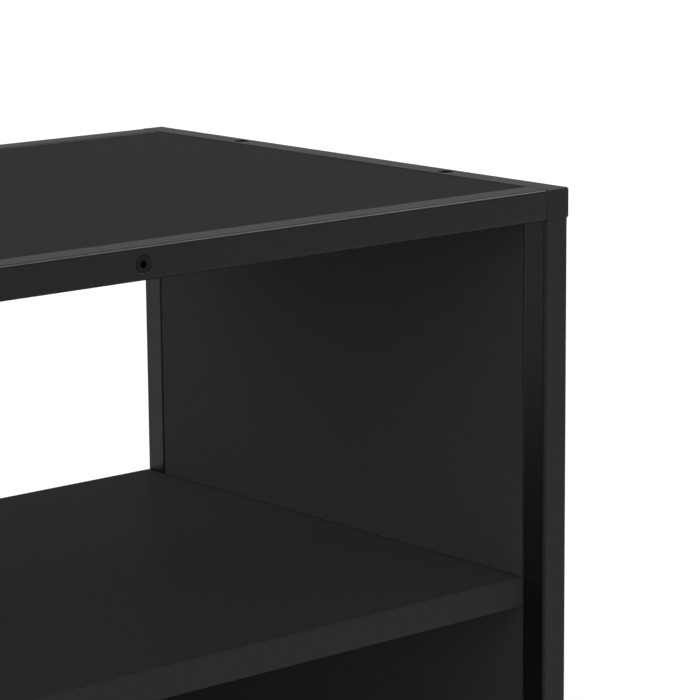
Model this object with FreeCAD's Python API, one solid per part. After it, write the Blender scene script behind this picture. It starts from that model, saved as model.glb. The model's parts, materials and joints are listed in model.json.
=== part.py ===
import FreeCAD, Part
import math
import os

# A low television stand. Two equal frames of square steel tube, one at the top and one at the bottom,
# are joined by four posts. Boards fill both frames and the two sides, a shelf divides the space between
# them, and a back board closes the lower half. Millimetres, Z up, front towards -Y, and the origin on
# the floor below the middle of the stand.

Vector = FreeCAD.Vector
up = Vector(0, 0, 1)
down = Vector(0, 0, -1)

# Overall sizes
overall_width = 800.0
overall_depth = 320.0
overall_height = 410.0
foot_height = 10.0
upper_opening_height = 177.5

# Square tube
tube_side = 15.0
tube_wall = 1.2
tube_corner_radius = 1.5
post_setback = 0.3

# Boards
board_thickness = 15.0
board_gap = 0.5
panel_recess = 0.3
shelf_end_gap = 0.3
edging_thickness = 0.8
edging_radius = 0.5

# End caps of the side rails
cap_flange = 1.5
cap_corner_chamfer = 1.0
cap_edge_chamfer = 0.4
cap_plug_depth = 10.0
cap_plug_wall = 1.5
cap_fit = 0.1

# Countersunk screws that hold the boards to the tubes
screw_diameter = 4.0
screw_head_diameter = 8.0
screw_length = 35.0
screw_tip_length = 4.0
screw_tip_diameter = 1.0
screw_socket = 3.0
screw_socket_depth = 1.8
panel_screw_from_end = 252.0
side_screw_from_end = 79.0
back_fixing_from_end = 150.0

# Countersunk bolts that hold the long rails to the side rails, and the threaded plugs that they enter
bolt_diameter = 5.0
bolt_head_diameter = 9.2
bolt_length = 28.0
bolt_socket = 3.0
bolt_socket_depth = 2.2
rail_plug_length = 20.0
rail_plug_fit = 0.1

# Fits of screws and bolts
head_sink = 0.2
seat_clearance = 0.05
thread_clearance = 0.05
hole_clearance = 0.25
pilot_spare_depth = 1.5

# Cam fittings and dowels of the shelf
cam_diameter = 15.0
cam_skin = 3.0
cam_fit = 0.1
cam_from_end = 24.0
cam_from_edge = 45.0
cam_wall = 2.5
cam_eccentricity = 0.6
cam_slot_angle = 110.0
cam_slot_lead = 25.0
cam_driver_length = 9.0
cam_driver_width = 1.6
cam_driver_depth = 2.0
cam_bolt_thread_diameter = 6.0
cam_bolt_skin = 4.0
cam_bolt_shank_diameter = 7.0
cam_bolt_neck_diameter = 4.6
cam_bolt_neck_length = 8.5
cam_bolt_head_diameter = 6.6
cam_bolt_head_flat_diameter = 3.6
cam_bolt_head_length = 5.4
cam_bolt_head_offset = 1.0
cam_bolt_bore_clearance = 0.5
dowel_diameter = 8.0
dowel_length = 30.0
dowel_chamfer = 1.0
dowel_fit = 0.05
dowel_from_cam = 32.0
dowel_skin = 5.0

# Levelling feet and the inserts that they screw into
foot_inset = 36.0
foot_stem_diameter = 6.0
foot_stem_top_clearance = 0.8
foot_pad_diameter = 14.0
foot_pad_edge = 0.9
foot_collar_across_flats = 10.0
foot_collar_height = 3.0
foot_spigot_diameter = 8.0
foot_spigot_depth = 3.0
foot_spigot_fit = 0.05
foot_thread_clearance = 0.06
insert_flange_diameter = 11.0
insert_flange = 0.8
insert_body_diameter = 9.0
insert_body_length = 10.0
insert_bulge_diameter = 11.0
insert_bulge_length = 2.5
insert_hole_clearance = 0.05

# Flat sides of small round forms, kept few so that the many small pieces stay light, and of a hexagon
shank_sides = 10
drum_sides = 20
hexagon_sides = 6

# Places that follow from the sizes above
half_width = overall_width / 2
half_depth = overall_depth / 2
post_outer_x = half_width - post_setback
post_outer_y = half_depth - post_setback
inner_x = post_outer_x - tube_side
inner_y = post_outer_y - tube_side
rail_x = half_width - tube_side / 2
rail_y = half_depth - tube_side / 2
rail_low = {"bottom": foot_height, "top": overall_height - tube_side}
post_low = foot_height + tube_side
post_high = overall_height - tube_side
shelf_top = post_high - upper_opening_height
shelf_low = shelf_top - board_thickness
shelf_middle = shelf_low + board_thickness / 2
shelf_half_length = inner_x - shelf_end_gap
shelf_front = -inner_y
shelf_rear = post_outer_y
side_half_depth = inner_y - board_gap
side_middle_x = inner_x + board_thickness / 2
back_middle_y = inner_y + board_thickness / 2
cam_height = board_thickness - cam_skin
cam_bolt_thread_length = board_thickness - cam_bolt_skin
dowel_depth_in_face = board_thickness - dowel_skin
collar_low = foot_height - insert_flange - foot_collar_height

sides = {"left": -1, "right": 1}
ends = {"front": -1, "rear": 1}

nodes = {}


def aimed(shape, point, direction):
    """The shape with its Z axis turned to the direction and its origin moved to the point."""
    placed = shape.copy()
    placed.Placement = FreeCAD.Placement(point, FreeCAD.Rotation(up, direction))
    return placed


def rounded_rectangle(size_x, size_y, radius):
    """Face of a rectangle with rounded corners, centred on the origin in the XY plane."""
    corners = [(1, 1), (-1, 1), (-1, -1), (1, -1)]
    arcs = []
    for turn, (sign_x, sign_y) in enumerate(corners):
        centre = Vector(sign_x * (size_x / 2 - radius), sign_y * (size_y / 2 - radius), 0)
        points = []
        for step in (0, 1, 2):
            angle = math.radians(90 * turn + 45 * step)
            points.append(centre + Vector(math.cos(angle), math.sin(angle), 0) * radius)
        arcs.append(points)
    edges = []
    for index, points in enumerate(arcs):
        following = arcs[(index + 1) % len(arcs)]
        edges.append(Part.Arc(*points).toShape())
        edges.append(Part.LineSegment(points[-1], following[0]).toShape())
    return Part.Face(Part.Wire(edges))


def faceted(profile, sides):
    """Solid about Z like a turned one, with flat sides, from its outline of (radius, height) points.

    The radii run to the middles of the flat sides, and flat faces close the outline's two ends.
    """
    rings = []
    for radius, height in profile:
        corner_radius = radius / math.cos(math.pi / sides)
        ring = []
        for index in range(sides + 1):
            angle = 2 * math.pi * (index % sides + 0.5) / sides
            ring.append(Vector(corner_radius * math.cos(angle), corner_radius * math.sin(angle), height))
        rings.append(ring)
    faces = [Part.Face(Part.makePolygon(ring)) for ring in (rings[0], rings[-1])]
    for ring, following in zip(rings, rings[1:]):
        for index in range(sides):
            corners = [ring[index], ring[index + 1], following[index + 1], following[index], ring[index]]
            faces.append(Part.Face(Part.makePolygon(corners)))
    return Part.makeSolid(Part.makeShell(faces))


def prism(radius, low, high, sides):
    """Prism about Z between two heights."""
    return faceted([(radius, low), (radius, high)], sides)


def box_between(low, high):
    """Box from its lowest to its highest corner."""
    size = high - low
    return Part.makeBox(size.x, size.y, size.z, low)


def square_tube(start, direction, length):
    """Hollow square tube with rounded corners, from the middle of its first end."""
    tube = rounded_rectangle(tube_side, tube_side, tube_corner_radius).extrude(Vector(0, 0, length))
    half_bore = tube_side / 2 - tube_wall
    bore = box_between(Vector(-half_bore, -half_bore, 0), Vector(half_bore, half_bore, length))
    return aimed(tube.cut(bore), start, direction)


def countersunk(diameter, head_diameter, length, socket, socket_depth, tip=()):
    """Countersunk fastener whose head lies on the XY plane and whose tip points along +Z."""
    radius = diameter / 2
    head_radius = head_diameter / 2
    profile = [(head_radius, 0), (radius, head_radius - radius)]
    profile += tip or [(radius, length)]
    return faceted(profile, shank_sides).cut(prism(socket / 2, 0, socket_depth, hexagon_sides))


def countersink(diameter, head_diameter):
    """Cutter for the hole that a countersunk fastener takes through a whole tube, from its outer face."""
    hole_radius = diameter / 2 + hole_clearance
    seat_radius = head_diameter / 2 + seat_clearance
    past = tube_side + tube_wall
    mouth_radius = seat_radius + head_sink + tube_wall
    seat_end = head_sink + seat_radius - hole_radius
    profile = [(mouth_radius, -tube_wall), (hole_radius, seat_end), (hole_radius, past)]
    return faceted(profile, shank_sides)


def seat_all(fastener, seats, sink):
    """One compound with the fastener at every seat, sunk below the surface."""
    placed = [aimed(fastener, point + direction * sink, direction) for point, direction in seats]
    return Part.makeCompound(placed)


def cut_seats(shape, cutter, seats):
    """The shape with the cutter taken out at every seat."""
    for point, direction in seats:
        shape = shape.cut(aimed(cutter, point, direction))
    return shape


screw_tip = [(screw_diameter / 2, screw_length - screw_tip_length), (screw_tip_diameter / 2, screw_length)]
screw = countersunk(
    screw_diameter, screw_head_diameter, screw_length, screw_socket, screw_socket_depth, screw_tip
)
screw_countersink = countersink(screw_diameter, screw_head_diameter)
screw_pilot = prism(screw_diameter / 2 + thread_clearance, 0, screw_length + pilot_spare_depth, shank_sides)
bolt = countersunk(bolt_diameter, bolt_head_diameter, bolt_length, bolt_socket, bolt_socket_depth)
bolt_countersink = countersink(bolt_diameter, bolt_head_diameter)


def panel_top(level):
    """Height of the upper face of the board inside a frame."""
    return rail_low[level] + tube_side - panel_recess


def panel_screw_seats(level, end):
    """Seats on the outer face of a long rail, in line with the middle of the board inside the frame."""
    height = panel_top(level) - board_thickness / 2
    places = [side * (half_width - panel_screw_from_end) for side in sides.values()]
    return [(Vector(x, end * half_depth, height), Vector(0, -end, 0)) for x in places]


def side_screw_seats(level, side):
    """Seats on the outer face of a side rail, in line with the middle of the side board."""
    surface = {"bottom": foot_height, "top": overall_height}[level]
    direction = {"bottom": up, "top": down}[level]
    places = [end * (half_depth - side_screw_from_end) for end in ends.values()]
    return [(Vector(side * side_middle_x, y, surface), direction) for y in places]


def back_screw_seats():
    """Seats on the underside of the bottom rear rail, in line with the middle of the back board."""
    outer = half_width - back_fixing_from_end
    return [(Vector(x, back_middle_y, foot_height), up) for x in (-outer, 0, outer)]


def bolt_seats(level, side):
    """Seats on the outer face of a side rail, in line with the middles of the two long rails."""
    height = rail_low[level] + tube_side / 2
    return [(Vector(side * half_width, end * rail_y, height), Vector(-side, 0, 0)) for end in ends.values()]


def foot_places(side):
    """Points on the underside of a bottom side rail where the feet screw in."""
    return [Vector(side * rail_x, end * (half_depth - foot_inset), foot_height) for end in ends.values()]


def long_rail(level, end):
    """Front or rear rail, which butts against the inner faces of the two side rails."""
    reach = half_width - tube_side
    start = Vector(-reach, end * rail_y, rail_low[level] + tube_side / 2)
    rail = square_tube(start, Vector(1, 0, 0), 2 * reach)
    rail = cut_seats(rail, screw_countersink, panel_screw_seats(level, end))
    if level == "bottom" and end == ends["rear"]:
        rail = cut_seats(rail, screw_countersink, back_screw_seats())
    return rail


def side_rail(level, side):
    """Side rail, which runs the whole depth between its two end caps."""
    reach = half_depth - cap_flange
    start = Vector(side * rail_x, -reach, rail_low[level] + tube_side / 2)
    rail = square_tube(start, Vector(0, 1, 0), 2 * reach)
    rail = cut_seats(rail, bolt_countersink, bolt_seats(level, side))
    rail = cut_seats(rail, screw_countersink, side_screw_seats(level, side))
    if level == "bottom":
        hole_radius = insert_body_diameter / 2 + insert_hole_clearance
        hole = prism(hole_radius, -tube_wall, 2 * tube_wall, shank_sides)
        for point in foot_places(side):
            rail = rail.cut(aimed(hole, point, up))
    return rail


def end_cap():
    """Cap of a side rail: a flange with an eased outer face, and a hollow plug slotted for the rail bolt.

    The outer face lies on the XY plane and the plug points along +Z.
    """
    reach = tube_side / 2
    flange = box_between(Vector(-reach, -reach, 0), Vector(reach, reach, cap_flange))
    corner_edges = [edge for edge in flange.Edges if edge.BoundBox.ZLength > cap_flange / 2]
    flange = flange.makeChamfer(cap_corner_chamfer, corner_edges)
    outer_edges = [edge for edge in flange.Edges if edge.BoundBox.ZMax < cap_flange / 2]
    flange = flange.makeChamfer(cap_edge_chamfer, outer_edges)
    plug_end = cap_flange + cap_plug_depth
    half_plug = reach - tube_wall - cap_fit
    plug = box_between(Vector(-half_plug, -half_plug, cap_flange), Vector(half_plug, half_plug, plug_end))
    half_hollow = half_plug - cap_plug_wall
    hollow_low = Vector(-half_hollow, -half_hollow, cap_flange)
    plug = plug.cut(box_between(hollow_low, Vector(half_hollow, half_hollow, plug_end)))
    slot_half_width = bolt_head_diameter / 2
    slot_start = tube_side / 2 - slot_half_width
    slot_low = Vector(-tube_side, -slot_half_width, slot_start)
    slot_high = Vector(tube_side, slot_half_width, plug_end)
    return flange.fuse(plug).removeSplitter().cut(box_between(slot_low, slot_high))


def rail_plug():
    """Threaded plug for the end of a long rail: its outer end is on the XY plane, its body along +Z."""
    reach = tube_side / 2 - tube_wall - rail_plug_fit
    body = box_between(Vector(-reach, -reach, 0), Vector(reach, reach, rail_plug_length))
    return body.cut(prism(bolt_diameter / 2 + thread_clearance, 0, rail_plug_length, shank_sides))


def frame_panel(level):
    """Board that fills a frame, with pilot holes for the screws through the long rails."""
    reach_x = half_width - tube_side - board_gap
    reach_y = half_depth - tube_side - board_gap
    top = panel_top(level)
    panel = box_between(Vector(-reach_x, -reach_y, top - board_thickness), Vector(reach_x, reach_y, top))
    for end in ends.values():
        panel = cut_seats(panel, screw_pilot, panel_screw_seats(level, end))
    return panel


def cam_seats(side):
    """Points on the inner face of a side board where the cam bolts leave it."""
    reach = side_half_depth - cam_from_edge
    return [Vector(side * inner_x, end * reach, shelf_middle) for end in ends.values()]


def dowel_seats(side):
    """Points on the inner face of a side board where the shelf's dowels leave it."""
    reach = side_half_depth - cam_from_edge - dowel_from_cam
    return [Vector(side * inner_x, end * reach, shelf_middle) for end in ends.values()]


def back_dowel_seats():
    """Points on the underside of the shelf where the back board's dowels leave it."""
    outer = half_width - back_fixing_from_end
    return [Vector(x, back_middle_y, shelf_low) for x in (-outer, 0, outer)]


def dowel():
    """Round dowel with chamfered ends, whose joint face lies on the XY plane."""
    radius = dowel_diameter / 2 - dowel_fit
    low = -dowel_depth_in_face
    high = low + dowel_length
    profile = [(radius - dowel_chamfer, low), (radius, low + dowel_chamfer)]
    profile += [(radius, high - dowel_chamfer), (radius - dowel_chamfer, high)]
    return faceted(profile, shank_sides)


def dowel_hole():
    """Cutter for the two holes that a dowel takes, one on each side of the joint face."""
    low = -dowel_depth_in_face
    high = low + dowel_length
    return prism(dowel_diameter / 2, low - dowel_chamfer, high + dowel_chamfer, shank_sides)


def cam_bolt():
    """Bolt that screws into the side board below the XY plane and reaches up into the cam lock."""
    head_radius = cam_bolt_head_diameter / 2
    neck_radius = cam_bolt_neck_diameter / 2
    thread_radius = cam_bolt_thread_diameter / 2
    shank_radius = cam_bolt_shank_diameter / 2
    head_height = shelf_end_gap + cam_from_end - cam_bolt_head_offset
    shank_top = head_height - cam_bolt_neck_length
    neck_low = shank_top + shank_radius - neck_radius
    half_head = cam_bolt_head_length / 2
    profile = [(thread_radius, -cam_bolt_thread_length), (thread_radius, 0), (shank_radius, 0)]
    profile += [(shank_radius, shank_top), (neck_radius, neck_low), (neck_radius, head_height - half_head)]
    profile += [(head_radius, head_height), (cam_bolt_head_flat_diameter / 2, head_height + half_head)]
    return faceted(profile, shank_sides)


def cam_lock():
    """Cam lock: a drum with a chamber for the bolt's head, a slot for its neck and a cross for the driver.

    The drum stands on the XY plane with its driver face down, and the bolt comes in from +X.
    """
    radius = cam_diameter / 2 - cam_fit
    middle = board_thickness / 2
    head_room = cam_bolt_head_diameter / 2 + hole_clearance
    neck_room = cam_bolt_neck_diameter / 2 + hole_clearance
    drum = prism(radius, 0, cam_height, drum_sides)
    chamber = prism(radius - cam_wall, middle - head_room, middle + head_room, shank_sides)
    chamber.translate(Vector(cam_eccentricity, 0, 0))
    drum = drum.cut(chamber)
    slot_low = Vector(0, 0, middle - neck_room)
    slot = Part.makeCylinder(cam_diameter, 2 * neck_room, slot_low, up, cam_slot_angle)
    slot.rotate(Vector(0, 0, 0), up, -cam_slot_lead)
    drum = drum.cut(slot)
    entry_angle = math.radians(cam_slot_angle - cam_slot_lead)
    entry_direction = Vector(math.cos(entry_angle), math.sin(entry_angle), 0)
    entry = prism(head_room, 0, cam_diameter, shank_sides)
    drum = drum.cut(aimed(entry, Vector(0, 0, middle), entry_direction))
    half_length = cam_driver_length / 2
    half_bar = cam_driver_width / 2
    for reach_x, reach_y in ((half_length, half_bar), (half_bar, half_length)):
        low = Vector(-reach_x, -reach_y, -cam_driver_depth)
        drum = drum.cut(box_between(low, Vector(reach_x, reach_y, cam_driver_depth)))
    return drum


def middle_shelf():
    """Shelf between the side boards, bored for its cam locks, cam bolts and dowels."""
    low = Vector(-shelf_half_length, shelf_front + edging_thickness, shelf_low)
    high = Vector(shelf_half_length, shelf_rear - edging_thickness, shelf_top)
    shelf = box_between(low, high)
    bolt_radius = cam_bolt_shank_diameter / 2 + cam_bolt_bore_clearance
    bolt_bore = prism(bolt_radius, 0, shelf_end_gap + cam_from_end, shank_sides)
    cam_bore = prism(cam_diameter / 2, 0, cam_height, drum_sides)
    for side in sides.values():
        inward = Vector(-side, 0, 0)
        for point in cam_seats(side):
            centre = point + inward * (shelf_end_gap + cam_from_end)
            shelf = shelf.cut(aimed(bolt_bore, point, inward))
            shelf = shelf.cut(aimed(cam_bore, Vector(centre.x, centre.y, shelf_low), up))
        for point in dowel_seats(side):
            shelf = shelf.cut(aimed(dowel_hole(), point, inward))
    for point in back_dowel_seats():
        shelf = shelf.cut(aimed(dowel_hole(), point, down))
    return shelf


def shelf_edging(outer_y, inward):
    """Strip glued to a long edge of the shelf, with its two outer corners rounded."""
    inner_face_y = outer_y + inward * edging_thickness
    low = Vector(-shelf_half_length, min(outer_y, inner_face_y), shelf_low)
    high = Vector(shelf_half_length, max(outer_y, inner_face_y), shelf_top)
    strip = box_between(low, high)
    outer_edges = []
    for edge in strip.Edges:
        middle = edge.CenterOfMass
        if abs(middle.y - outer_y) < edging_thickness / 2 and abs(middle.x) < board_thickness:
            outer_edges.append(edge)
    return strip.makeFillet(edging_radius, outer_edges)


def side_panel(side):
    """Side board between the posts and the side rails, with holes for its screws, cam bolts and dowels."""
    faces = sorted((side * inner_x, side * (inner_x + board_thickness)))
    low = Vector(faces[0], -side_half_depth, post_low + board_gap)
    high = Vector(faces[1], side_half_depth, post_high - board_gap)
    panel = box_between(low, high)
    for level in rail_low:
        panel = cut_seats(panel, screw_pilot, side_screw_seats(level, side))
    inward = Vector(-side, 0, 0)
    thread_radius = cam_bolt_thread_diameter / 2 + thread_clearance
    thread_depth = cam_bolt_thread_length + pilot_spare_depth
    thread_hole = prism(thread_radius, -thread_depth, 0, shank_sides)
    for point in cam_seats(side):
        panel = panel.cut(aimed(thread_hole, point, inward))
    for point in dowel_seats(side):
        panel = panel.cut(aimed(dowel_hole(), point, inward))
    return panel


def back_panel():
    """Board that closes the back of the lower compartment, from the bottom rear rail to the shelf."""
    reach = inner_x - board_gap
    low = Vector(-reach, inner_y, post_low + board_gap)
    panel = box_between(low, Vector(reach, inner_y + board_thickness, shelf_low - board_gap))
    panel = cut_seats(panel, screw_pilot, back_screw_seats())
    for point in back_dowel_seats():
        panel = panel.cut(aimed(dowel_hole(), point, down))
    return panel


def foot_insert():
    """Threaded insert riveted into the underside of a bottom side rail, which lies on the XY plane."""
    flange_radius = insert_flange_diameter / 2
    body_radius = insert_body_diameter / 2
    bulge_radius = insert_bulge_diameter / 2
    bore_radius = foot_stem_diameter / 2 + foot_thread_clearance
    bulge_top = tube_wall + insert_bulge_length
    bulge_middle = tube_wall + insert_bulge_length / 2
    profile = [(flange_radius, -insert_flange), (flange_radius, 0), (body_radius, 0)]
    profile += [(body_radius, tube_wall), (bulge_radius, bulge_middle), (body_radius, bulge_top)]
    profile.append((body_radius, insert_body_length))
    bore = prism(bore_radius, -insert_flange, insert_body_length, shank_sides)
    return faceted(profile, shank_sides).cut(bore)


def foot_pad():
    """Plastic pad of a levelling foot, which stands on the XY plane and has a socket for the stud."""
    radius = foot_pad_diameter / 2
    eased = radius - foot_pad_edge
    socket_radius = foot_spigot_diameter / 2
    socket_floor = collar_low - foot_spigot_depth
    profile = [(eased, 0), (radius, foot_pad_edge)]
    profile += [(radius, collar_low - foot_pad_edge), (eased, collar_low)]
    socket = prism(socket_radius, socket_floor, collar_low, shank_sides)
    return faceted(profile, drum_sides).cut(socket)


def foot_stud():
    """Steel stud of a levelling foot: a spigot in the pad, a hexagonal collar and a threaded stem."""
    spigot_low = collar_low - foot_spigot_depth
    stem_top = foot_height + tube_side - tube_wall - foot_stem_top_clearance
    spigot_radius = foot_spigot_diameter / 2 - foot_spigot_fit
    collar_high = collar_low + foot_collar_height
    spigot = prism(spigot_radius, spigot_low, collar_low, shank_sides)
    collar = prism(foot_collar_across_flats / 2, collar_low, collar_high, hexagon_sides)
    stem = prism(foot_stem_diameter / 2, collar_high, stem_top, shank_sides)
    return spigot.fuse(collar).fuse(stem)


# Tubes, rail bolts and threaded plugs
plugs = []
all_bolt_seats = []
for level in rail_low:
    for end_name, end in ends.items():
        nodes[f"{level}_{end_name}_rail"] = long_rail(level, end)
    for side_name, side in sides.items():
        nodes[f"{level}_{side_name}_rail"] = side_rail(level, side)
        all_bolt_seats += bolt_seats(level, side)
        for point, direction in bolt_seats(level, side):
            plugs.append(aimed(rail_plug(), point + direction * tube_side, direction))
nodes["rail_bolts"] = seat_all(bolt, all_bolt_seats, head_sink)
nodes["rail_end_plugs"] = Part.makeCompound(plugs)

for end_name, end in ends.items():
    for side_name, side in sides.items():
        post_x = side * (post_outer_x - tube_side / 2)
        post_y = end * (post_outer_y - tube_side / 2)
        post = square_tube(Vector(post_x, post_y, post_low), up, post_high - post_low)
        nodes[f"{end_name}_{side_name}_post"] = post
        for level in rail_low:
            cap_point = Vector(side * rail_x, end * half_depth, rail_low[level] + tube_side / 2)
            nodes[f"{level}_{end_name}_{side_name}_cap"] = aimed(end_cap(), cap_point, Vector(0, -end, 0))

# Boards and the screws that hold them to the tubes
for level in rail_low:
    nodes[f"{level}_panel"] = frame_panel(level)
    panel_seats = panel_screw_seats(level, ends["front"]) + panel_screw_seats(level, ends["rear"])
    nodes[f"{level}_panel_screws"] = seat_all(screw, panel_seats, head_sink)
    side_seats = side_screw_seats(level, sides["left"]) + side_screw_seats(level, sides["right"])
    nodes[f"side_panel_{level}_screws"] = seat_all(screw, side_seats, head_sink)
for side_name, side in sides.items():
    nodes[f"{side_name}_side_panel"] = side_panel(side)
nodes["lower_back_panel"] = back_panel()
nodes["back_panel_screws"] = seat_all(screw, back_screw_seats(), head_sink)
back_dowels = [aimed(dowel(), point, down) for point in back_dowel_seats()]
nodes["back_panel_dowels"] = Part.makeCompound(back_dowels)

# Shelf and its fittings
nodes["middle_shelf"] = middle_shelf()
nodes["shelf_front_edging"] = shelf_edging(shelf_front, 1)
nodes["shelf_rear_edging"] = shelf_edging(shelf_rear, -1)
cam_locks = []
cam_bolts = []
shelf_dowels = []
for side in sides.values():
    inward = Vector(-side, 0, 0)
    for point in cam_seats(side):
        lock = cam_lock()
        if side < 0:
            lock.rotate(Vector(0, 0, 0), up, 180)
        centre = point + inward * (shelf_end_gap + cam_from_end)
        lock.translate(Vector(centre.x, centre.y, shelf_low))
        cam_locks.append(lock)
        cam_bolts.append(aimed(cam_bolt(), point, inward))
    shelf_dowels += [aimed(dowel(), point, inward) for point in dowel_seats(side)]
nodes["shelf_cam_locks"] = Part.makeCompound(cam_locks)
nodes["shelf_cam_bolts"] = Part.makeCompound(cam_bolts)
nodes["shelf_dowels"] = Part.makeCompound(shelf_dowels)

# Feet
inserts = []
for side_name, side in sides.items():
    for end_name, point in zip(ends, foot_places(side)):
        inserts.append(aimed(foot_insert(), point, up))
        floor_point = Vector(point.x, point.y, 0)
        nodes[f"{end_name}_{side_name}_foot_pad"] = aimed(foot_pad(), floor_point, up)
        nodes[f"{end_name}_{side_name}_foot_stud"] = aimed(foot_stud(), floor_point, up)
nodes["foot_inserts"] = Part.makeCompound(inserts)

os.makedirs("parts", exist_ok=True)
for name, shape in nodes.items():
    shape.exportStep(f"parts/{name}.step")
    state = "valid" if shape.isValid() else "not valid"
    print(name, len(shape.Solids), "solids", round(shape.Volume), "mm3", state)
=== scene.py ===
import json
import math
from typing import NamedTuple

import bmesh
import bpy
from mathutils import Matrix, Vector

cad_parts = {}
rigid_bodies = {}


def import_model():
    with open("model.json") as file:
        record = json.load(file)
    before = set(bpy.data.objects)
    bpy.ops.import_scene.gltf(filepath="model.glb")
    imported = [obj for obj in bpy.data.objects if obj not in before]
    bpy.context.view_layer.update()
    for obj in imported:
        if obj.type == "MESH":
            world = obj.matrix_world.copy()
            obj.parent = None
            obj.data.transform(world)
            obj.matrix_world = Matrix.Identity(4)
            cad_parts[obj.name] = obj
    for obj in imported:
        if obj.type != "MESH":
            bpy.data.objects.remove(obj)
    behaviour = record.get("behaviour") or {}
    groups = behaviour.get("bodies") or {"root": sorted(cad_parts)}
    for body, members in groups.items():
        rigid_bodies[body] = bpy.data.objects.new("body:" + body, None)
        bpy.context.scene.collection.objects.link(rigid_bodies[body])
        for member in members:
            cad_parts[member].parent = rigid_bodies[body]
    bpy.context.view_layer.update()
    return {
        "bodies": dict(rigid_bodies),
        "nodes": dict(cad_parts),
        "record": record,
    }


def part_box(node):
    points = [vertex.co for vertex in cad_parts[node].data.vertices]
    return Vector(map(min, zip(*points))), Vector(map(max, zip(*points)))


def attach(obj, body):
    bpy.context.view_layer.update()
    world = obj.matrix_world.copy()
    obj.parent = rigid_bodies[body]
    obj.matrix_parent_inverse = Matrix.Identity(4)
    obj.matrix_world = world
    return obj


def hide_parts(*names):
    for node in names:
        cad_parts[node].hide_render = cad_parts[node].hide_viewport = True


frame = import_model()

# Looks, light and camera for the black television stand. Metres, Z up, front towards -Y.


class Lamp(NamedTuple):
    """A far lamp: its strength, and in degrees the cone that its light fills, its bearing and its height."""

    name: str
    strength: float
    cone: float
    bearing: float
    height: float
    reflected_only: bool = False


class Grain(NamedTuple):
    """Noise: its scale in features per metre, its levels of detail and its scale along each axis."""

    scale: float
    detail: float
    axes: tuple = (1.0, 1.0, 1.0)


class Finish(NamedTuple):
    """One kind of surface: its tones in linear light, its gloss, its roughness and its relief in metres."""

    name: str
    dark: tuple
    light: tuple
    tone: Grain
    gloss: float
    smooth: float
    rough: float
    sheen: Grain
    relief: Grain
    relief_depth: float
    relief_strength: float
    gloss_tint: tuple = (1.0, 1.0, 1.0)
    metallic: float = 0.0


class Fastener(NamedTuple):
    """Sizes of a countersunk fastener, in millimetres."""

    head_radius: float
    root_radius: float
    crest_radius: float
    plain_length: float
    length: float
    tip_length: float
    pitch: float


def neutral(level):
    """Grey of one level."""
    return (level, level, level)


def shaded(colour, share):
    """Share of a colour."""
    return tuple(level * share for level in colour)


# Camera: place, heading from +Y towards +X, angle below level, roll, lens and sensor width
camera_place = Vector((-0.6115, -1.1863, 0.6203))
camera_heading = math.radians(40.409)
camera_dip = math.radians(11.358)
camera_roll = math.radians(-0.483)
camera_lens = 156.77
camera_sensor = 36.0

# Light: bearings run from +Y towards +X, and heights are above level
world_level = 0.463
world_tint = (0.965, 0.98, 1.0)
lamps = (
    Lamp("front_lamp", strength=1.3, cone=60, bearing=-143, height=25),
    Lamp("low_lamp", strength=0.5, cone=9, bearing=-130, height=2.5),
    Lamp("rear_lamp", strength=1.7, cone=50, bearing=-30, height=29),
    Lamp("gloss_lamp", strength=2.06, cone=26, bearing=107, height=48, reflected_only=True),
)
floor_colour = 0.96
floor_glow = 0.22
floor_half_size = 60.0
floor_smooth = 0.85
floor_rough = 0.95
floor_sheen = Grain(40, 2)

# Noise runs from its low to its high tone between these levels
noise_low = 0.3
noise_high = 0.7

# Semi-gloss black powder coat with the fine waviness of a sprayed film
coat = Finish(
    "powder_coated_steel",
    dark=neutral(0.0042),
    light=neutral(0.0052),
    tone=Grain(240, 4),
    gloss=0.195,
    gloss_tint=(0.97, 1.0, 0.985),
    smooth=0.36,
    rough=0.42,
    sheen=Grain(300, 3),
    relief=Grain(1500, 2),
    relief_depth=0.00004,
    relief_strength=0.20,
)

# Black melamine with a fine pearl texture: the uprights, the top and bottom boards and the smoother shelf.
# They are one melamine painted in three tones for how light falls: the shelf is painted lightest and the top
# and bottom boards a little lighter than the uprights, as painted light
frame_board_painted_light_colour = (0.0305, 0.0323, 0.0309)
upright_board_colour = (0.0292, 0.0292, 0.0289)
shelf_board_painted_light_colour = (0.0368, 0.0376, 0.0370)
edging_colour = (0.0252, 0.0256, 0.0251)
board_grain = 0.05
upright_board = Finish(
    "black_upright_board",
    dark=shaded(upright_board_colour, 1 - board_grain),
    light=shaded(upright_board_colour, 1 + board_grain),
    tone=Grain(420, 4),
    gloss=0.015,
    smooth=0.78,
    rough=0.84,
    sheen=Grain(300, 3),
    relief=Grain(2600, 2),
    relief_depth=0.00004,
    relief_strength=0.35,
)
# Painted light: the top and bottom boards and the shelf take lighter copies of the uprights' colour
frame_board = upright_board._replace(
    name="black_frame_board_painted_light",
    dark=shaded(frame_board_painted_light_colour, 1 - board_grain),
    light=shaded(frame_board_painted_light_colour, 1 + board_grain),
)
shelf_board = upright_board._replace(
    name="black_shelf_board_painted_light",
    dark=shaded(shelf_board_painted_light_colour, 1 - board_grain),
    light=shaded(shelf_board_painted_light_colour, 1 + board_grain),
    gloss=0.0008,
    smooth=0.32,
    rough=0.38,
)

# Painted shade at the shelf's ends, where they meet the uprights: a line of this width that keeps this share
# of the colour
painted_shade_line_width = 0.0009
painted_shade_line_share = 0.35

# Black edging strip with faint streaks along its length
edging_streaks = Grain(60, 4, axes=(0.08, 1.0, 6.0))
edging = upright_board._replace(
    name="black_edging",
    dark=shaded(edging_colour, 1 - board_grain),
    light=shaded(edging_colour, 1 + board_grain),
    tone=edging_streaks,
    gloss=0.02,
    smooth=0.62,
    rough=0.70,
    sheen=edging_streaks,
    relief_strength=0.3,
)

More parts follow.
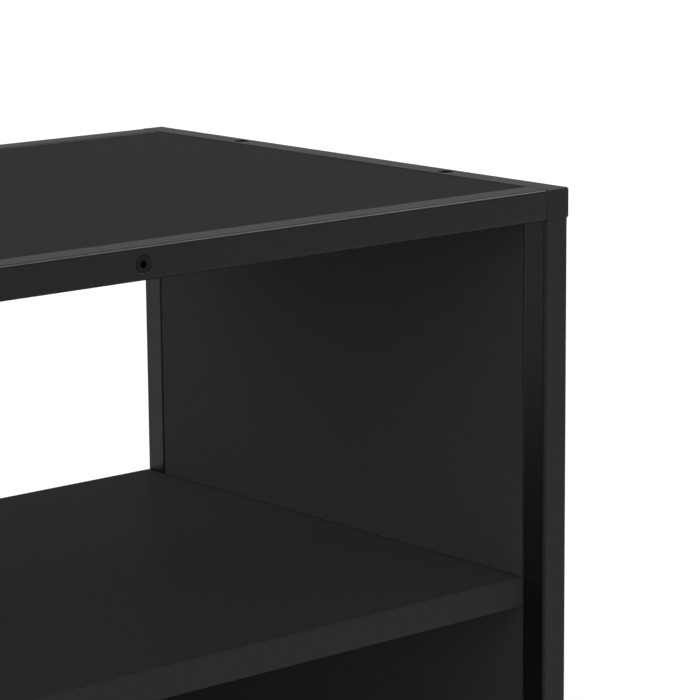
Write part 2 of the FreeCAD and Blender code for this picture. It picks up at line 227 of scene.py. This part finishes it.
# Satin black plastic with a spark-eroded mould texture
plastic = Finish(
    "black_plastic",
    dark=neutral(0.0085),
    light=neutral(0.0105),
    tone=Grain(200, 3),
    gloss=0.15,
    smooth=0.44,
    rough=0.56,
    sheen=Grain(500, 2),
    relief=Grain(3200, 2),
    relief_depth=0.00005,
    relief_strength=0.4,
)

# Dull black plated steel of the screws and bolts, and a far darker copy that paints shade inside their
# sockets
black_steel = Finish(
    "black_fastener",
    dark=neutral(0.0135),
    light=neutral(0.0170),
    tone=Grain(400, 3),
    gloss=0.001,
    smooth=0.66,
    rough=0.76,
    sheen=Grain(900, 2),
    relief=Grain(4200, 2),
    relief_depth=0.00002,
    relief_strength=0.3,
)
# Painted shade for the inside of the sockets: the same steel, far darker
painted_socket_shade = black_steel._replace(
    name="fastener_socket_painted_shade",
    dark=neutral(0.0010),
    light=neutral(0.0020),
)

# Bright zinc plated steel
zinc = Finish(
    "zinc_steel",
    dark=neutral(0.42),
    light=neutral(0.60),
    tone=Grain(260, 4),
    gloss=0.5,
    metallic=1.0,
    smooth=0.28,
    rough=0.42,
    sheen=Grain(700, 3),
    relief=Grain(2400, 2),
    relief_depth=0.00003,
    relief_strength=0.3,
)

# Plain beech with its grain along the dowel
beech_grain = Grain(420, 5, axes=(0.12, 1.0, 1.0))
beech = Finish(
    "beech",
    dark=(0.42, 0.26, 0.13),
    light=(0.60, 0.42, 0.25),
    tone=beech_grain,
    gloss=0.3,
    smooth=0.55,
    rough=0.70,
    sheen=beech_grain,
    relief=beech_grain,
    relief_depth=0.0001,
    relief_strength=0.4,
)

# Eased edges of boards and caps
board_edge_radius = 0.0004
cap_edge_radius = 0.00025
eased_edge_segments = 3
eased_edge_angle = math.radians(40)

# Turned pieces, in millimetres along their own axes
millimetre = 0.001
weld_distance = 0.005
turn_sides = 24
hexagon_sides = 6
rings_per_pitch = 4
smooth_angle = math.radians(38)
rim_bevel = 0.12
panel_screw = Fastener(
    head_radius=4.0,
    root_radius=1.55,
    crest_radius=2.0,
    plain_length=11.0,
    length=35.0,
    tip_length=5.0,
    pitch=1.8,
)
rail_bolt = Fastener(
    head_radius=4.6,
    root_radius=2.1,
    crest_radius=2.5,
    plain_length=10.0,
    length=28.0,
    tip_length=0.8,
    pitch=0.8,
)
socket_across_flats = 2.8
socket_mouth_radius = 1.7
socket_depth = 2.0
socket_rings = 2
tip_share = 0.3
dowel_radius = 3.95
dowel_flute_depth = 0.25
dowel_chamfer = 1.0
stud_spigot_radius = 3.95
stud_spigot_length = 3.0
stud_collar_across_flats = 10.0
stud_collar_corner_radius = 5.25
stud_collar_chamfer = 0.35
stud_collar_length = 3.0
stud_root_radius = 2.55
stud_crest_radius = 3.0
stud_pitch = 1.0
insert_flange_radius = 5.5
insert_flange = 0.8
insert_body_radius = 4.5
insert_bulge_radius = 5.5
insert_bulge_start = 2.0
insert_bulge_end = 4.5
insert_length = 10.8
insert_bore_radius = 3.06
insert_groove_radius = 3.4
pad_radius = 7.0
pad_edge = 0.9
pad_groove_depth = 0.5
pad_groove_radii = (2.6, 4.4)
pad_groove_width = 0.7
pad_groove_slope = 0.25
pad_socket_radius = 4.0
pad_socket_floor = 3.2


def opaque(colour):
    """Colour with its alpha."""
    return (*colour, 1.0)


class Surface:
    """A node material built round one principled shader."""

    def __init__(self, name, gloss):
        self.material = bpy.data.materials.new(name)
        self.material.use_nodes = True
        self.tree = self.material.node_tree
        self.shader = self.tree.nodes["Principled BSDF"]
        self.constant("Specular IOR Level", gloss)
        self.place = self.add("ShaderNodeTexCoord").outputs["Object"]

    def add(self, kind):
        """New node of a kind."""
        return self.tree.nodes.new(kind)

    def link(self, output, target):
        """Link from a node's output to another node's input."""
        self.tree.links.new(output, target)

    def constant(self, socket, value):
        """Sets a value that is the same all over the surface."""
        self.shader.inputs[socket].default_value = value

    def varied(self, socket, output):
        """Links a value that varies over the surface to the shader."""
        self.link(output, self.shader.inputs[socket])

    def noise(self, grain):
        """Smooth noise from 0 to 1 in object coordinates."""
        mapping = self.add("ShaderNodeMapping")
        mapping.inputs["Scale"].default_value = grain.axes
        self.link(self.place, mapping.inputs["Vector"])
        node = self.add("ShaderNodeTexNoise")
        node.inputs["Scale"].default_value = grain.scale
        node.inputs["Detail"].default_value = grain.detail
        self.link(mapping.outputs["Vector"], node.inputs["Vector"])
        return node.outputs["Fac"]

    def ramp(self, grain, low, high):
        """Colour that runs from low to high with the noise."""
        node = self.add("ShaderNodeValToRGB")
        node.color_ramp.elements[0].position = noise_low
        node.color_ramp.elements[0].color = opaque(low)
        node.color_ramp.elements[1].position = noise_high
        node.color_ramp.elements[1].color = opaque(high)
        self.link(self.noise(grain), node.inputs["Fac"])
        return node.outputs["Color"]

    def span(self, grain, low, high):
        """Number that runs from low to high with the noise."""
        node = self.add("ShaderNodeMapRange")
        node.inputs["From Min"].default_value = noise_low
        node.inputs["From Max"].default_value = noise_high
        node.inputs["To Min"].default_value = low
        node.inputs["To Max"].default_value = high
        self.link(self.noise(grain), node.inputs["Value"])
        return node.outputs["Result"]

    def darker_past(self, colour, reach, share):
        """The colour, and only a share of it further than the reach from the middle along X."""
        parts = self.add("ShaderNodeSeparateXYZ")
        self.link(self.place, parts.inputs["Vector"])
        distance = self.add("ShaderNodeMath")
        distance.operation = "ABSOLUTE"
        self.link(parts.outputs["X"], distance.inputs[0])
        past = self.add("ShaderNodeMath")
        past.operation = "GREATER_THAN"
        past.inputs[1].default_value = reach
        self.link(distance.outputs["Value"], past.inputs[0])
        mix = self.add("ShaderNodeMix")
        mix.data_type = "RGBA"
        mix.blend_type = "MULTIPLY"
        mix.inputs["B"].default_value = opaque(neutral(share))
        self.link(past.outputs["Value"], mix.inputs["Factor"])
        self.link(colour, mix.inputs["A"])
        return mix.outputs["Result"]

    def bump(self, grain, depth, strength):
        """Fine relief of that depth in metres."""
        node = self.add("ShaderNodeBump")
        node.inputs["Strength"].default_value = strength
        node.inputs["Distance"].default_value = depth
        self.link(self.noise(grain), node.inputs["Height"])
        self.varied("Normal", node.outputs["Normal"])

    def glow(self, strength):
        """Light of its own that only the camera, reflections and clear pieces see."""
        path = self.add("ShaderNodeLightPath")
        seen = path.outputs["Is Camera Ray"]
        for kind in ("Is Glossy Ray", "Is Transmission Ray"):
            either = self.add("ShaderNodeMath")
            either.operation = "MAXIMUM"
            self.link(seen, either.inputs[0])
            self.link(path.outputs[kind], either.inputs[1])
            seen = either.outputs["Value"]
        level = self.add("ShaderNodeMath")
        level.operation = "MULTIPLY"
        level.inputs[1].default_value = strength
        self.link(seen, level.inputs[0])
        self.constant("Emission Color", opaque(neutral(1.0)))
        self.varied("Emission Strength", level.outputs["Value"])


def dressed(finish, painted_shade_end=None):
    """Material of a finish, with a line of painted shade where a board's ends meet the uprights, at the
    given reach along X.
    """
    surface = Surface(finish.name, finish.gloss)
    surface.constant("Metallic", finish.metallic)
    surface.constant("Specular Tint", opaque(finish.gloss_tint))
    colour = surface.ramp(finish.tone, finish.dark, finish.light)
    # Painted shade: a darker line along the board's ends, in place of the shade where it meets the uprights
    if painted_shade_end:
        colour = surface.darker_past(colour, painted_shade_end - painted_shade_line_width, painted_shade_line_share)
    surface.varied("Base Color", colour)
    surface.varied("Roughness", surface.span(finish.sheen, finish.smooth, finish.rough))
    surface.bump(finish.relief, finish.relief_depth, finish.relief_strength)
    return surface.material


def dress_nodes():
    """Gives every CAD node the material of its slot, except that the top and bottom boards and the shelf get
    painted-light copies of the board's, and gives back the materials by slot.
    """
    materials = {
        "powder_coated_steel": dressed(coat),
        "black_board": dressed(upright_board),
        "black_edging": dressed(edging),
        "black_plastic": dressed(plastic),
        "black_fastener": dressed(black_steel),
        "zinc_steel": dressed(zinc),
        "beech": dressed(beech),
    }
    # The top and bottom boards and the shelf get their painted-light materials
    frame_painted_light_material = dressed(frame_board)
    painted_light_boards = {
        "top_panel": frame_painted_light_material,
        "bottom_panel": frame_painted_light_material,
        # The shelf's material paints shade along its ends, where they meet the uprights
        "middle_shelf": dressed(shelf_board, painted_shade_end=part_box("middle_shelf")[1].x),
    }
    for subpart in frame["record"]["subparts"]:
        name = subpart["node"]
        mesh = frame["nodes"][name].data
        mesh.materials.clear()
        mesh.materials.append(painted_light_boards.get(name) or materials[subpart["material_slot"]])
    return materials


def ease_edges():
    """Eases the sharp edges of the boards and caps, as cutting and moulding leave them."""
    for name, node in frame["nodes"].items():
        if name.endswith("_panel") or name == "middle_shelf":
            radius = board_edge_radius
        elif name.endswith("_cap"):
            radius = cap_edge_radius
        else:
            continue
        bevel = node.modifiers.new("eased_edges", "BEVEL")
        bevel.width = radius
        bevel.segments = eased_edge_segments
        bevel.limit_method = "ANGLE"
        bevel.angle_limit = eased_edge_angle


def circle(radius):
    """Radii of a round ring."""
    return [radius] * turn_sides


def turn_angles():
    """Angles of a ring's points."""
    return [2 * math.pi * index / turn_sides for index in range(turn_sides)]


def hexagon(across_flats, most=math.inf):
    """Radii of a six-sided ring, with its corners cut back to the most."""
    sector = 2 * math.pi / hexagon_sides
    radii = []
    for angle in turn_angles():
        off_flat = (angle + sector / 2) % sector - sector / 2
        radii.append(min(across_flats / 2 / math.cos(off_flat), most))
    return radii


def fluted(radius):
    """Radii of a ring whose every second point lies in a flute."""
    return [radius - dowel_flute_depth * (index % 2) for index in range(turn_sides)]


def thread(root, crest, low, high, pitch, tip=0.0):
    """Rings of a screw thread that climbs one pitch a turn, and narrows over the tip at its high end."""
    steps = round((high - low) / pitch * rings_per_pitch)
    rings = []
    for step in range(steps + 1):
        height = low + (high - low) * step / steps
        share = 1.0
        if high - height < tip:
            share = tip_share + (1 - tip_share) * (high - height) / tip
        radii = []
        for angle in turn_angles():
            turn = (height / pitch - angle / (2 * math.pi)) % 1
            radii.append(share * (root + (crest - root) * (1 - abs(2 * turn - 1))))
        rings.append((height, radii))
    return rings


def countersunk(fastener):
    """Rings of a countersunk fastener, from the floor of its socket over the head to the tip."""
    mouth_depth = socket_mouth_radius - socket_across_flats / 2
    plain = circle(fastener.crest_radius)
    threaded = thread(
        fastener.root_radius,
        fastener.crest_radius,
        fastener.plain_length,
        fastener.length,
        fastener.pitch,
        fastener.tip_length,
    )
    return [
        (socket_depth, hexagon(socket_across_flats)),
        (mouth_depth, hexagon(socket_across_flats, socket_mouth_radius)),
        (0.0, circle(socket_mouth_radius)),
        (0.0, circle(fastener.head_radius - 2 * rim_bevel)),
        (rim_bevel, circle(fastener.head_radius - rim_bevel)),
        (fastener.head_radius - fastener.crest_radius, plain),
        (fastener.plain_length, plain),
        *threaded,
    ]


def dowel(length):
    """Rings of a fluted dowel with chamfered ends."""
    end = fluted(dowel_radius - dowel_chamfer)
    middle = fluted(dowel_radius)
    return [(0.0, end), (dowel_chamfer, middle), (length - dowel_chamfer, middle), (length, end)]


def foot_stud(length):
    """Rings of a levelling foot's stud: a spigot, a chamfered hexagonal collar and a threaded stem."""
    collar_end = stud_spigot_length + stud_collar_length
    corner = hexagon(stud_collar_across_flats)
    eased = hexagon(stud_collar_across_flats, stud_collar_corner_radius)
    stem = thread(stud_root_radius, stud_crest_radius, collar_end, length, stud_pitch, stud_pitch)
    return [
        (0.0, circle(stud_spigot_radius)),
        (stud_spigot_length, circle(stud_spigot_radius)),
        (stud_spigot_length, eased),
        (stud_spigot_length + stud_collar_chamfer, corner),
        (collar_end - stud_collar_chamfer, corner),
        (collar_end, eased),
        *stem,
    ]


def foot_insert():
    """Rings of a rivet nut, round its outside and back down its threaded bore."""
    bulge_middle = (insert_bulge_start + insert_bulge_end) / 2
    bore = thread(insert_groove_radius, insert_bore_radius, 0.0, insert_length, stud_pitch)
    return [
        (0.0, circle(insert_flange_radius - rim_bevel)),
        (rim_bevel, circle(insert_flange_radius)),
        (insert_flange, circle(insert_flange_radius)),
        (insert_flange, circle(insert_body_radius)),
        (insert_bulge_start, circle(insert_body_radius)),
        (bulge_middle, circle(insert_bulge_radius)),
        (insert_bulge_end, circle(insert_body_radius)),
        (insert_length, circle(insert_body_radius)),
        *reversed(bore),
    ]


def foot_pad(height):
    """Rings of a levelling foot's pad, from its grooved underside round to the floor of its socket."""
    rings = [(0.0, circle(pad_groove_radii[0] / 2))]
    for radius in pad_groove_radii:
        rings += [
            (0.0, circle(radius)),
            (pad_groove_depth, circle(radius + pad_groove_slope)),
            (pad_groove_depth, circle(radius + pad_groove_slope + pad_groove_width)),
            (0.0, circle(radius + 2 * pad_groove_slope + pad_groove_width)),
        ]
    rings += [
        (0.0, circle(pad_radius - pad_edge)),
        (pad_edge, circle(pad_radius)),
        (height - pad_edge, circle(pad_radius)),
        (height, circle(pad_radius - pad_edge)),
        (height, circle(pad_socket_radius)),
        (pad_socket_floor, circle(pad_socket_radius)),
    ]
    return rings


def weld(mesh):
    """Joins the corner points of a mesh that lie on each other."""
    bmesh.ops.remove_doubles(mesh, verts=mesh.verts, dist=weld_distance * millimetre)


def islands(node):
    """Corner points of each separate solid in a CAD node, as a list for each solid."""
    mesh = bmesh.new()
    mesh.from_mesh(frame["nodes"][node].data)
    weld(mesh)
    reached = set()
    groups = []
    for first in mesh.verts:
        if first in reached:
            continue
        reached.add(first)
        front = [first]
        group = []
        while front:
            corner = front.pop()
            group.append(corner.co.copy())
            for edge in corner.link_edges:
                other = edge.other_vert(corner)
                if other not in reached:
                    reached.add(other)
                    front.append(other)
        groups.append(group)
    mesh.free()
    return groups


def extents(points):
    """Lowest and highest corner of the box round some points."""
    low = Vector([min(point[axis] for point in points) for axis in range(3)])
    high = Vector([max(point[axis] for point in points) for axis in range(3)])
    return low, high


def lower_middle(low, high):
    """Middle of the lower face of a box."""
    return Vector(((low.x + high.x) / 2, (low.y + high.y) / 2, low.z))


def seats(node):
    """Start and direction of each solid in a CAD node, from its wider end along its longest side."""
    places = []
    for points in islands(node):
        low, high = extents(points)
        middle = (low + high) / 2
        size = high - low
        axis = max(range(3), key=lambda number: size[number])
        reach = Vector([size[axis] / 2 if number == axis else 0.0 for number in range(3)])
        widest = max(points, key=lambda point: ((point - middle) - (point - middle).project(reach)).length)
        if (widest - middle).dot(reach) > 0:
            reach = -reach
        places.append((middle - reach, reach.normalized()))
    return places


def solid_length(node):
    """Longest side of the first solid in a CAD node, in millimetres."""
    low, high = extents(islands(node)[0])
    return max(high - low) / millimetre


def turned_piece(node, rings, places, body, materials, ring_loop=False, painted_shade_rings=0):
    """One mesh of turned copies at their places, in place of a CAD node.

    A ring loop joins its last ring to its first; other forms are closed by flat ends. The first rings of
    that count, and the first end, take the second material, which paints shade in a socket.
    """
    shape = bmesh.new()
    for start, direction in places:
        turn = Matrix.Translation(start) @ direction.to_track_quat("Z", "Y").to_matrix().to_4x4()
        loops = []
        for height, radii in rings:
            loop = []
            for angle, radius in zip(turn_angles(), radii):
                point = Vector((radius * math.cos(angle), radius * math.sin(angle), height)) * millimetre
                loop.append(shape.verts.new(turn @ point))
            loops.append(loop)
        pairs = list(zip(loops, loops[1:]))
        if ring_loop:
            pairs.append((loops[-1], loops[0]))
        else:
            first_end = shape.faces.new(loops[0])
            first_end.material_index = int(painted_shade_rings > 0)
            last_end = shape.faces.new(loops[-1])
            bmesh.ops.poke(shape, faces=[first_end, last_end])
        for number, (lower, upper) in enumerate(pairs):
            for index in range(turn_sides):
                following = (index + 1) % turn_sides
                face = shape.faces.new((lower[index], lower[following], upper[following], upper[index]))
                face.material_index = int(number < painted_shade_rings)
    weld(shape)
    bmesh.ops.recalc_face_normals(shape, faces=shape.faces)
    mesh = bpy.data.meshes.new(f"{node}_turned")
    shape.to_mesh(mesh)
    shape.free()
    mesh.shade_smooth()
    mesh.set_sharp_from_angle(angle=smooth_angle)
    for material in materials:
        mesh.materials.append(material)
    piece = bpy.data.objects.new(f"{node}_turned", mesh)
    bpy.context.scene.collection.objects.link(piece)
    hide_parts(node)
    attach(piece, body)


def turn_fasteners(materials):
    """Puts turned pieces in place of the plain screws, bolts, dowels, inserts and feet."""
    # The socket rings take the far darker material: painted shade inside the sockets
    looks = [materials["black_fastener"], dressed(painted_socket_shade)]
    fasteners = {name: panel_screw for name in frame["nodes"] if name.endswith("_screws")}
    fasteners["rail_bolts"] = rail_bolt
    for node, fastener in fasteners.items():
        rings = countersunk(fastener)
        turned_piece(node, rings, seats(node), "stand", looks, painted_shade_rings=socket_rings)
    for node in ("shelf_dowels", "back_panel_dowels"):
        rings = dowel(solid_length(node))
        turned_piece(node, rings, seats(node), "stand", [materials["beech"]])
    upward = Vector((0, 0, 1))
    places = [(lower_middle(*extents(points)), upward) for points in islands("foot_inserts")]
    looks = [materials["zinc_steel"]]
    turned_piece("foot_inserts", foot_insert(), places, "stand", looks, ring_loop=True)
    for body in frame["bodies"]:
        if not body.endswith("_foot"):
            continue
        for kind, form, slot in (("pad", foot_pad, "black_plastic"), ("stud", foot_stud, "zinc_steel")):
            node = f"{body}_{kind}"
            low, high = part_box(node)
            rings = form((high.z - low.z) / millimetre)
            turned_piece(node, rings, [(lower_middle(low, high), upward)], body, [materials[slot]])


def add_floor():
    """Pale floor that carries the stand's shadow."""
    reach = floor_half_size
    mesh = bpy.data.meshes.new("floor")
    corners = [(-reach, -reach, 0), (reach, -reach, 0), (reach, reach, 0), (-reach, reach, 0)]
    mesh.from_pydata(corners, [], [(0, 1, 2, 3)])
    floor = bpy.data.objects.new("floor", mesh)
    bpy.context.scene.collection.objects.link(floor)
    surface = Surface("floor", gloss=0.0)
    surface.constant("Base Color", opaque(neutral(floor_colour)))
    surface.varied("Roughness", surface.span(floor_sheen, floor_smooth, floor_rough))
    surface.glow(floor_glow)
    mesh.materials.append(surface.material)


def bearing_vector(bearing, height=0.0):
    """Direction at a bearing from +Y towards +X and a height above level."""
    level = math.cos(height)
    return Vector((math.sin(bearing) * level, math.cos(bearing) * level, math.sin(height)))


def add_world():
    """Even surroundings of a faintly cool white."""
    world = bpy.data.worlds.new("studio")
    world.use_nodes = True
    background = world.node_tree.nodes["Background"]
    background.inputs["Color"].default_value = opaque(world_tint)
    background.inputs["Strength"].default_value = world_level
    bpy.context.scene.world = world


def add_lamps():
    """Far lamps, each of which shows only in reflections or in none."""
    for lamp in lamps:
        light = bpy.data.lights.new(lamp.name, "SUN")
        light.energy = lamp.strength
        light.angle = math.radians(lamp.cone)
        holder = bpy.data.objects.new(lamp.name, light)
        direction = bearing_vector(math.radians(lamp.bearing), math.radians(lamp.height))
        holder.rotation_euler = direction.to_track_quat("Z", "Y").to_euler()
        holder.visible_diffuse = not lamp.reflected_only
        holder.visible_glossy = lamp.reflected_only
        bpy.context.scene.collection.objects.link(holder)


def add_camera():
    """Camera at the photograph's place, with its own right, up and backward directions as columns."""
    level_right = bearing_vector(camera_heading + math.pi / 2)
    ahead = bearing_vector(camera_heading, -camera_dip)
    level_up = level_right.cross(ahead)
    right = level_right * math.cos(camera_roll) + level_up * math.sin(camera_roll)
    upward = level_up * math.cos(camera_roll) - level_right * math.sin(camera_roll)
    turn = Matrix((right, upward, -ahead)).transposed().to_4x4()
    data = bpy.data.cameras.new("camera")
    data.lens = camera_lens
    data.sensor_width = camera_sensor
    camera = bpy.data.objects.new("camera", data)
    camera.matrix_world = Matrix.Translation(camera_place) @ turn
    bpy.context.scene.collection.objects.link(camera)
    bpy.context.scene.camera = camera


slot_materials = dress_nodes()
ease_edges()
turn_fasteners(slot_materials)
add_floor()
add_world()
add_lamps()
add_camera()
bpy.context.scene.view_settings.view_transform = "Standard"
